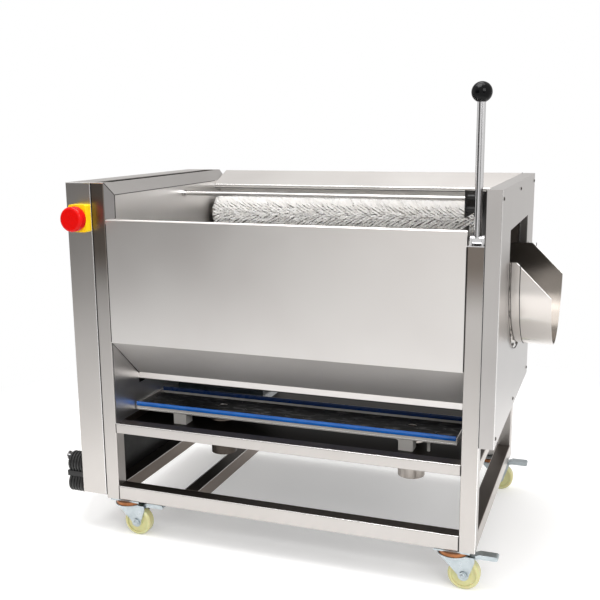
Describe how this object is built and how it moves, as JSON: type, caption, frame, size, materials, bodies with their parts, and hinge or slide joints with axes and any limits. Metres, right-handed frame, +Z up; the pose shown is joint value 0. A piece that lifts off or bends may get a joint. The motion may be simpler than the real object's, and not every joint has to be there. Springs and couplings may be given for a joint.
{
  "type": "electric potato peeler",
  "caption": "Brush-roller peeling machine: an open steel trough lined with bristle rollers, on a castored frame with a drive housing, a lever gate and a side discharge chute.",
  "frame": {"origin": "on the floor, under the middle of the machine's outline seen from above, without its cord", "axes": "+X along the rollers from the drive housing to the discharge chute, +Y to the back, +Z up"},
  "size_m": [1.2616, 0.752, 1.151],
  "materials": {
    "stainless_sheet": "brushed",
    "stainless_tube": "polished tube",
    "steel_pipe": "satin",
    "steel_chain": "oiled",
    "black_plate": "dark satin",
    "motor_grey": "enamel",
    "nylon_bristle": "bristle",
    "nylon_bearing": "machined",
    "black_rubber": "wet",
    "blue_plastic": "satin",
    "zinc": "zinc plated",
    "bronze": "dull",
    "wheel_cream": "moulded",
    "knob_black": "glossy",
    "stop_yellow": "moulded",
    "stop_red": "moulded",
    "cord_black": "flexible"
  },
  "bodies": {
    "machine": {"frame_front": "stainless_tube", "frame_back": "stainless_tube", "side_rails": "stainless_tube", "drive_housing": "stainless_sheet", "drive_plate": "black_plate", "front_panel": "stainless_sheet", "back_panel": "stainless_sheet", "left_end_plate": "stainless_sheet", "right_end_plate": "stainless_sheet", "hood": "stainless_sheet", "spray_pipe": "steel_pipe", "shaft_bearings": "nylon_bearing", "drive_chains": "steel_chain", "gear_motor": "motor_grey", "drain_tray": "stainless_sheet", "tray_mat": "black_rubber", "tray_trims": "blue_plastic", "tray_shelf": "stainless_sheet", "tray_support": "stainless_sheet", "drain_left": "steel_pipe", "drain_right": "steel_pipe", "end_cover": "stainless_sheet", "chute": "stainless_sheet", "gate_pivot": "steel_chain", "stop_box": "stop_yellow", "castor_plates": "zinc", "castor_races": "bronze", "screws": "steel_chain", "cord_hank": "cord_black", "cord_tie": "cord_black", "cord_hook": "stainless_tube", "cord_gland": "cord_black", "cord_lead": "cord_black", "cord_plug": "cord_black"},
    "motor_shaft": {"motor_sprocket": "steel_chain"},
    "gate": {"gate_plate": "black_plate", "lever_rod": "steel_pipe", "lever_knob": "knob_black"},
    "stop_cap": {"stop_button": "stop_red"},
    "roller_body_1": {"roller_1": "nylon_bristle"},
    "roller_body_2": {"roller_2": "nylon_bristle"},
    "roller_body_3": {"roller_3": "nylon_bristle"},
    "roller_body_4": {"roller_4": "nylon_bristle"},
    "roller_body_5": {"roller_5": "nylon_bristle"},
    "roller_body_6": {"roller_6": "nylon_bristle"},
    "roller_body_7": {"roller_7": "nylon_bristle"},
    "roller_body_8": {"roller_8": "nylon_bristle"},
    "roller_body_9": {"roller_9": "nylon_bristle"},
    "fork_fl": {"castor_fork_fl": "zinc"},
    "wheel_fl": {"castor_wheel_fl": "wheel_cream"},
    "pedal_fl": {"brake_pedal_fl": "zinc"},
    "fork_fr": {"castor_fork_fr": "zinc"},
    "wheel_fr": {"castor_wheel_fr": "wheel_cream"},
    "pedal_fr": {"brake_pedal_fr": "zinc"},
    "fork_rl": {"castor_fork_rl": "zinc"},
    "wheel_rl": {"castor_wheel_rl": "wheel_cream"},
    "pedal_rl": {"brake_pedal_rl": "zinc"},
    "fork_rr": {"castor_fork_rr": "zinc"},
    "wheel_rr": {"castor_wheel_rr": "wheel_cream"},
    "pedal_rr": {"brake_pedal_rr": "zinc"}
  },
  "joints": [
    {"name": "roller_1_spin", "type": "hinge", "parent": "machine", "child": "roller_body_1", "pos_m": [-0.002, -0.25975, 0.77866], "axis": [1, 0, 0], "continuous": true},
    {"name": "roller_2_spin", "type": "hinge", "parent": "machine", "child": "roller_body_2", "pos_m": [-0.002, -0.23548, 0.68], "axis": [1, 0, 0], "continuous": true},
    {"name": "roller_3_spin", "type": "hinge", "parent": "machine", "child": "roller_body_3", "pos_m": [-0.002, -0.17513, 0.59827], "axis": [1, 0, 0], "continuous": true},
    {"name": "roller_4_spin", "type": "hinge", "parent": "machine", "child": "roller_body_4", "pos_m": [-0.002, -0.08798, 0.54604], "axis": [1, 0, 0], "continuous": true},
    {"name": "roller_5_spin", "type": "hinge", "parent": "machine", "child": "roller_body_5", "pos_m": [-0.002, 0.01256, 0.53136], "axis": [1, 0, 0], "continuous": true},
    {"name": "roller_6_spin", "type": "hinge", "parent": "machine", "child": "roller_body_6", "pos_m": [-0.002, 0.111, 0.55647], "axis": [1, 0, 0], "continuous": true},
    {"name": "roller_7_spin", "type": "hinge", "parent": "machine", "child": "roller_body_7", "pos_m": [-0.002, 0.19221, 0.61752], "axis": [1, 0, 0], "continuous": true},
    {"name": "roller_8_spin", "type": "hinge", "parent": "machine", "child": "roller_body_8", "pos_m": [-0.002, 0.24369, 0.70511], "axis": [1, 0, 0], "continuous": true},
    {"name": "roller_9_spin", "type": "hinge", "parent": "machine", "child": "roller_body_9", "pos_m": [-0.002, 0.25752, 0.80577], "axis": [1, 0, 0], "continuous": true},
    {"name": "motor_spin", "type": "hinge", "parent": "machine", "child": "motor_shaft", "pos_m": [-0.502, 0.111, 0.30247], "axis": [1, 0, 0], "continuous": true},
    {"name": "gate_lift", "type": "hinge", "parent": "machine", "child": "gate", "pos_m": [0.469, -0.301, 0.819], "axis": [1, 0, 0], "range_deg": [0, 65]},
    {"name": "stop_press", "type": "slide", "parent": "machine", "child": "stop_cap", "axis": [0, 1, 0], "range_m": [0, 0.005], "stiffness_N_per_m": 1500, "springref_m": -0.002},
    {"name": "castor_fl_swivel", "type": "hinge", "parent": "machine", "child": "fork_fl", "pos_m": [-0.429, -0.292, 0.084], "axis": [0, 0, 1], "continuous": true},
    {"name": "wheel_fl_roll", "type": "hinge", "parent": "fork_fl", "child": "wheel_fl", "pos_m": [-0.403, -0.292, 0.0375], "axis": [0, 1, 0], "continuous": true},
    {"name": "pedal_fl_press", "type": "hinge", "parent": "fork_fl", "child": "pedal_fl", "pos_m": [-0.385, -0.292, 0.079], "axis": [0, 1, 0], "range_deg": [0, 12]},
    {"name": "castor_fr_swivel", "type": "hinge", "parent": "machine", "child": "fork_fr", "pos_m": [0.435, -0.292, 0.084], "axis": [0, 0, 1], "continuous": true},
    {"name": "wheel_fr_roll", "type": "hinge", "parent": "fork_fr", "child": "wheel_fr", "pos_m": [0.461, -0.292, 0.0375], "axis": [0, 1, 0], "continuous": true},
    {"name": "pedal_fr_press", "type": "hinge", "parent": "fork_fr", "child": "pedal_fr", "pos_m": [0.479, -0.292, 0.079], "axis": [0, 1, 0], "range_deg": [0, 12]},
    {"name": "castor_rl_swivel", "type": "hinge", "parent": "machine", "child": "fork_rl", "pos_m": [-0.429, 0.322, 0.084], "axis": [0, 0, 1], "continuous": true},
    {"name": "wheel_rl_roll", "type": "hinge", "parent": "fork_rl", "child": "wheel_rl", "pos_m": [-0.403, 0.322, 0.0375], "axis": [0, 1, 0], "continuous": true},
    {"name": "pedal_rl_press", "type": "hinge", "parent": "fork_rl", "child": "pedal_rl", "pos_m": [-0.385, 0.322, 0.079], "axis": [0, 1, 0], "range_deg": [0, 12]},
    {"name": "castor_rr_swivel", "type": "hinge", "parent": "machine", "child": "fork_rr", "pos_m": [0.435, 0.322, 0.084], "axis": [0, 0, 1], "continuous": true},
    {"name": "wheel_rr_roll", "type": "hinge", "parent": "fork_rr", "child": "wheel_rr", "pos_m": [0.461, 0.322, 0.0375], "axis": [0, 1, 0], "continuous": true},
    {"name": "pedal_rr_press", "type": "hinge", "parent": "fork_rr", "child": "pedal_rr", "pos_m": [0.479, 0.322, 0.079], "axis": [0, 1, 0], "range_deg": [0, 12]}
  ],
  "couplings": [
    {"joint": "roller_1_spin", "follows": "roller_6_spin", "ratio": 1},
    {"joint": "roller_2_spin", "follows": "roller_6_spin", "ratio": 1},
    {"joint": "roller_3_spin", "follows": "roller_6_spin", "ratio": 1},
    {"joint": "roller_4_spin", "follows": "roller_6_spin", "ratio": 1},
    {"joint": "roller_5_spin", "follows": "roller_6_spin", "ratio": 1},
    {"joint": "roller_7_spin", "follows": "roller_6_spin", "ratio": 1},
    {"joint": "roller_8_spin", "follows": "roller_6_spin", "ratio": 1},
    {"joint": "roller_9_spin", "follows": "roller_6_spin", "ratio": 1},
    {"joint": "motor_spin", "follows": "roller_6_spin", "ratio": 1}
  ]
}
